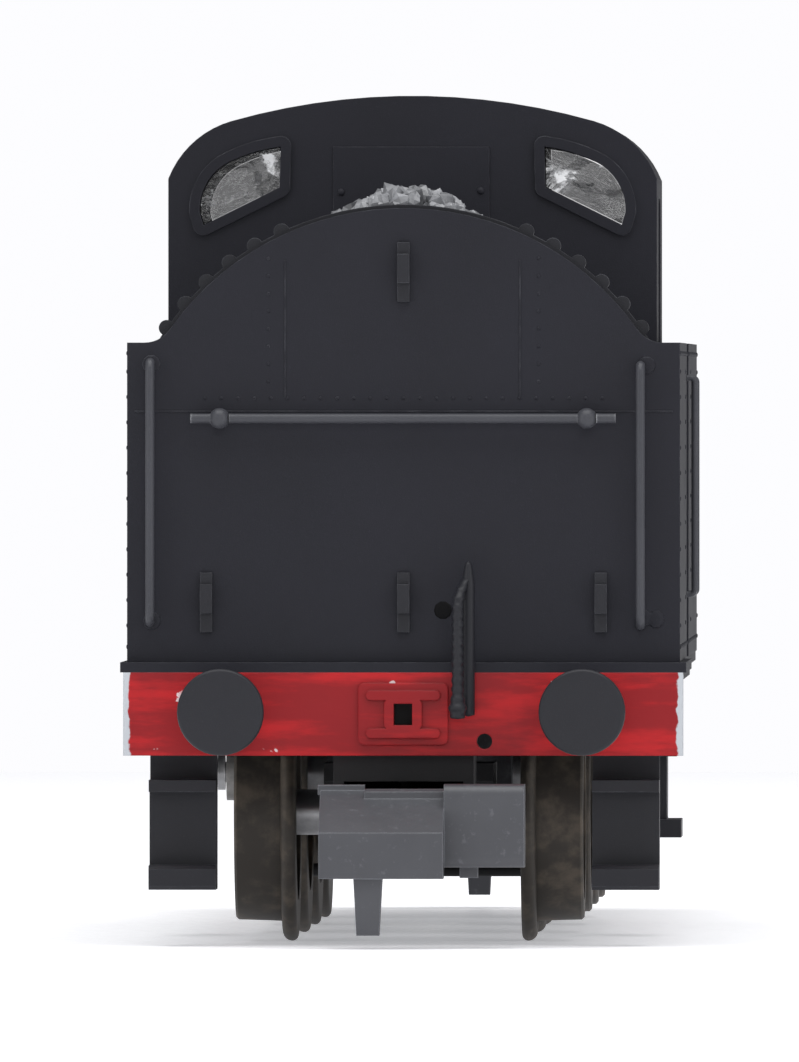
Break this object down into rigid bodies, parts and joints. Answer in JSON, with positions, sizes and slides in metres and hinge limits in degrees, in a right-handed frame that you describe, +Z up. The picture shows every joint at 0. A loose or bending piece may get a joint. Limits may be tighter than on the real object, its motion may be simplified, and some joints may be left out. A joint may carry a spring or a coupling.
{
  "type": "model steam locomotive",
  "caption": "N gauge side tank steam locomotive with a domed coal bunker, inside cylinders, coupled driving wheels, a swinging trailing truck, a geared motor and sprung hook couplers.",
  "frame": {"origin": "centre of the locomotive's footprint, midway between the couplers, at the lowest point of the wheel flanges", "axes": "+Y forwards to the chimney, along the track; +X to the right when seen from behind, across the track; +Z up"},
  "size_m": [0.0188, 0.082, 0.0279],
  "materials": {
    "matt_black_body": "matt charcoal",
    "beam_red": "satin red",
    "satin_black_fitting": "satin",
    "rail_wire": "satin",
    "coupler_plastic": "matt dark grey",
    "tyre_metal": "chemically blackened, worn",
    "wheel_centre_plastic": "matt black",
    "bright_steel": "turned",
    "brass": "turned",
    "chassis_casting": "die-cast, blackened",
    "chassis_plastic": "moulded black",
    "coal": "glossy grey-black",
    "glazing": "clear",
    "motor_steel": "plated",
    "rod_steel": "etched",
    "board_green": "laminate",
    "phosphor_bronze": "springy strip"
  },
  "bodies": {
    "locomotive": {"chassis_block": "chassis_casting", "keeper_plate": "chassis_plastic", "frame_screws": "bright_steel", "motor_can": "motor_steel", "motor_end_bell": "chassis_plastic", "idler_pin": "bright_steel", "circuit_board": "board_green", "pickup_strips": "phosphor_bronze", "truck_pivot_screw": "bright_steel", "footplate": "matt_black_body", "buffer_beams": "beam_red", "buffers": "satin_black_fitting", "tank_and_bunker": "matt_black_body", "bunker_hoop": "satin_black_fitting", "coal_load": "coal", "cab_upper": "matt_black_body", "cab_glazing": "glazing", "cab_interior": "satin_black_fitting", "boiler": "matt_black_body", "smokebox_door": "satin_black_fitting", "chimney": "satin_black_fitting", "steam_dome": "satin_black_fitting", "safety_valves": "brass", "whistle": "brass", "tank_fillers": "satin_black_fitting", "rear_handrail": "rail_wire", "vertical_handrails": "rail_wire", "boiler_handrails": "rail_wire", "lamp_irons": "satin_black_fitting", "vacuum_pipes": "satin_black_fitting", "rear_steps": "satin_black_fitting", "cab_steps": "satin_black_fitting", "brake_gear": "chassis_plastic", "coupler_pockets": "chassis_plastic", "coupler_springs": "bright_steel"},
    "motor_rotor": {"motor_shaft": "bright_steel", "flywheel": "brass", "worm": "brass"},
    "idler_gear": {"worm_wheel": "chassis_plastic"},
    "front_wheelset": {"front_tyres": "tyre_metal", "front_wheel_centres": "wheel_centre_plastic", "front_axle": "bright_steel", "front_crankpins": "bright_steel"},
    "middle_wheelset": {"middle_tyres": "tyre_metal", "middle_wheel_centres": "wheel_centre_plastic", "middle_axle": "bright_steel", "middle_crankpins": "bright_steel", "axle_gear": "chassis_plastic"},
    "rear_wheelset": {"rear_tyres": "tyre_metal", "rear_wheel_centres": "wheel_centre_plastic", "rear_axle": "bright_steel", "rear_crankpins": "bright_steel"},
    "left_rod": {"left_coupling_rod": "rod_steel"},
    "right_rod": {"right_coupling_rod": "rod_steel"},
    "trailing_truck": {"truck_frame": "chassis_plastic"},
    "trailing_wheelset": {"trailing_tyres": "tyre_metal", "trailing_wheel_centres": "wheel_centre_plastic", "trailing_axle": "bright_steel"},
    "rear_hook": {"rear_coupler": "coupler_plastic"},
    "front_hook": {"front_coupler": "coupler_plastic"}
  },
  "joints": [
    {"name": "middle_axle_turn", "type": "hinge", "parent": "locomotive", "child": "middle_wheelset", "pos_m": [0, 0.006, 0.00535], "axis": [1, 0, 0], "continuous": true},
    {"name": "front_axle_turn", "type": "hinge", "parent": "locomotive", "child": "front_wheelset", "pos_m": [0, 0.0205, 0.00535], "axis": [1, 0, 0], "continuous": true},
    {"name": "rear_axle_turn", "type": "hinge", "parent": "locomotive", "child": "rear_wheelset", "pos_m": [0, -0.0085, 0.00535], "axis": [1, 0, 0], "continuous": true},
    {"name": "idler_turn", "type": "hinge", "parent": "locomotive", "child": "idler_gear", "pos_m": [0, 0.006, 0.01135], "axis": [1, 0, 0], "continuous": true},
    {"name": "motor_turn", "type": "hinge", "parent": "locomotive", "child": "motor_rotor", "pos_m": [0, 0.006, 0.01555], "axis": [0, 1, 0], "continuous": true},
    {"name": "left_rod_pivot", "type": "hinge", "parent": "middle_wheelset", "child": "left_rod", "pos_m": [-0.00628, 0.0076, 0.00535], "axis": [1, 0, 0], "continuous": true},
    {"name": "right_rod_pivot", "type": "hinge", "parent": "middle_wheelset", "child": "right_rod", "pos_m": [0.00628, 0.006, 0.00695], "axis": [1, 0, 0], "continuous": true},
    {"name": "truck_swing", "type": "hinge", "parent": "locomotive", "child": "trailing_truck", "pos_m": [0, -0.0145, 0.0056], "axis": [0, 0, 1], "range_deg": [-5, 5]},
    {"name": "trailing_axle_turn", "type": "hinge", "parent": "trailing_truck", "child": "trailing_wheelset", "pos_m": [0, -0.0245, 0.00425], "axis": [1, 0, 0], "continuous": true},
    {"name": "rear_hook_swing", "type": "hinge", "parent": "locomotive", "child": "rear_hook", "pos_m": [0, -0.0323, 0.0047], "axis": [0, 0, 1], "range_deg": [-12, 12], "stiffness_Nm_per_rad": 0.00002},
    {"name": "front_hook_swing", "type": "hinge", "parent": "locomotive", "child": "front_hook", "pos_m": [0, 0.0323, 0.0047], "axis": [0, 0, 1], "range_deg": [-12, 12], "stiffness_Nm_per_rad": 0.00002}
  ],
  "couplings": [
    {"joint": "front_axle_turn", "follows": "middle_axle_turn", "ratio": 1},
    {"joint": "rear_axle_turn", "follows": "middle_axle_turn", "ratio": 1},
    {"joint": "idler_turn", "follows": "middle_axle_turn", "ratio": -1},
    {"joint": "motor_turn", "follows": "middle_axle_turn", "ratio": -20},
    {"joint": "left_rod_pivot", "follows": "middle_axle_turn", "ratio": -1},
    {"joint": "right_rod_pivot", "follows": "middle_axle_turn", "ratio": -1}
  ]
}
